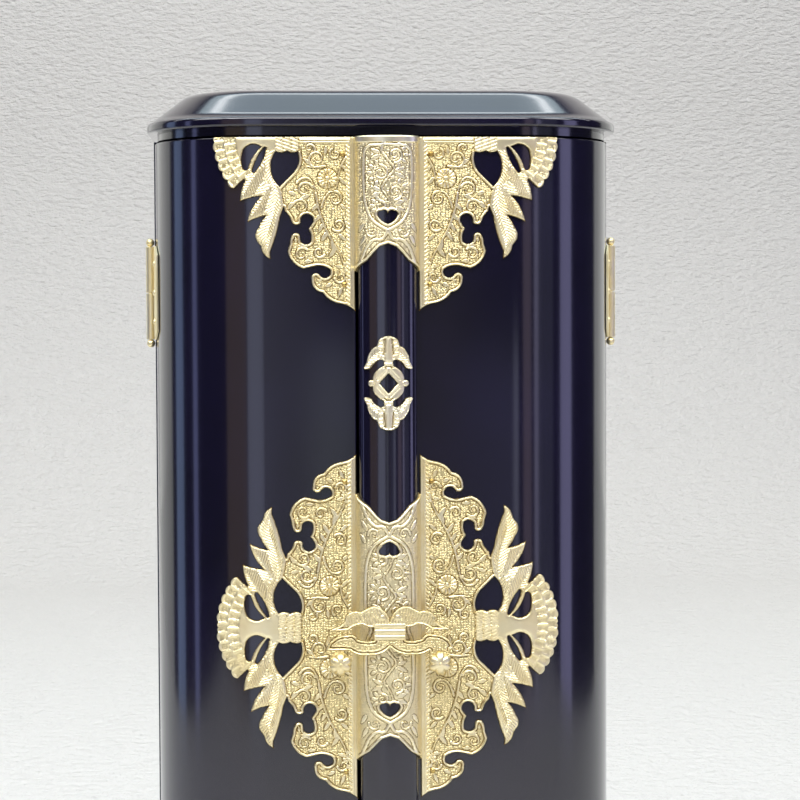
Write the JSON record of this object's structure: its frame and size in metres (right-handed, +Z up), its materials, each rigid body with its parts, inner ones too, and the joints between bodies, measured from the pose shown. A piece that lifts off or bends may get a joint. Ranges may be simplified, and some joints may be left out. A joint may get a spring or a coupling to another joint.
{
  "type": "portable shrine",
  "caption": "Tall black lacquered portable shrine, empty inside, with two doors that wrap its rounded front corners, a half-round batten, pierced gilt brass fittings, hinges and a latch.",
  "frame": {"origin": "under the middle of the cabinet, on the surface that it stands on", "axes": "+Z up, -Y out of the doors, +X towards the door that carries the batten"},
  "size_m": [0.21, 0.1821, 0.4636],
  "materials": {
    "black_lacquer": "polished black lacquer",
    "gilt_brass": "gilt, chased and ring punched",
    "pale_brass": "polished pale gilt"
  },
  "bodies": {
    "cabinet": {"lid": "black_lacquer", "base": "black_lacquer", "cabinet_shell": "black_lacquer", "hinge_left_upper_cabinet_leaf": "pale_brass", "hinge_left_upper_pin": "pale_brass", "hinge_left_lower_cabinet_leaf": "pale_brass", "hinge_left_lower_pin": "pale_brass", "hinge_right_upper_cabinet_leaf": "pale_brass", "hinge_right_upper_pin": "pale_brass", "hinge_right_lower_cabinet_leaf": "pale_brass", "hinge_right_lower_pin": "pale_brass"},
    "right_door": {"door_right": "black_lacquer", "batten": "black_lacquer", "fitting_right_top": "gilt_brass", "fitting_right_middle": "gilt_brass", "fitting_right_bottom": "gilt_brass", "batten_fitting_top": "pale_brass", "batten_fitting_middle": "pale_brass", "batten_fitting_bottom": "pale_brass", "ornament_upper": "pale_brass", "ornament_lower": "pale_brass", "latch_stud_right": "pale_brass", "hinge_right_upper_door_leaf": "pale_brass", "hinge_right_lower_door_leaf": "pale_brass"},
    "left_door": {"door_left": "black_lacquer", "fitting_left_top": "gilt_brass", "fitting_left_middle": "gilt_brass", "fitting_left_bottom": "gilt_brass", "latch_stud_left": "pale_brass", "hinge_left_upper_door_leaf": "pale_brass", "hinge_left_lower_door_leaf": "pale_brass"},
    "latch": {"latch": "gilt_brass"}
  },
  "joints": [
    {"name": "right_door_hinge", "type": "hinge", "parent": "cabinet", "child": "right_door", "pos_m": [0.1027, -0.03, 0.2344], "axis": [0, 0, 1], "range_deg": [0, 150]},
    {"name": "left_door_hinge", "type": "hinge", "parent": "cabinet", "child": "left_door", "pos_m": [-0.1027, -0.03, 0.2344], "axis": [0, 0, -1], "range_deg": [0, 150]},
    {"name": "latch_swing", "type": "hinge", "parent": "right_door", "child": "latch", "pos_m": [0.021, -0.092, 0.2206], "axis": [0, 1, 0], "range_deg": [0, 90]}
  ],
  "couplings": [
    {"joint": "left_door_hinge", "follows": "right_door_hinge", "ratio": 1}
  ]
}
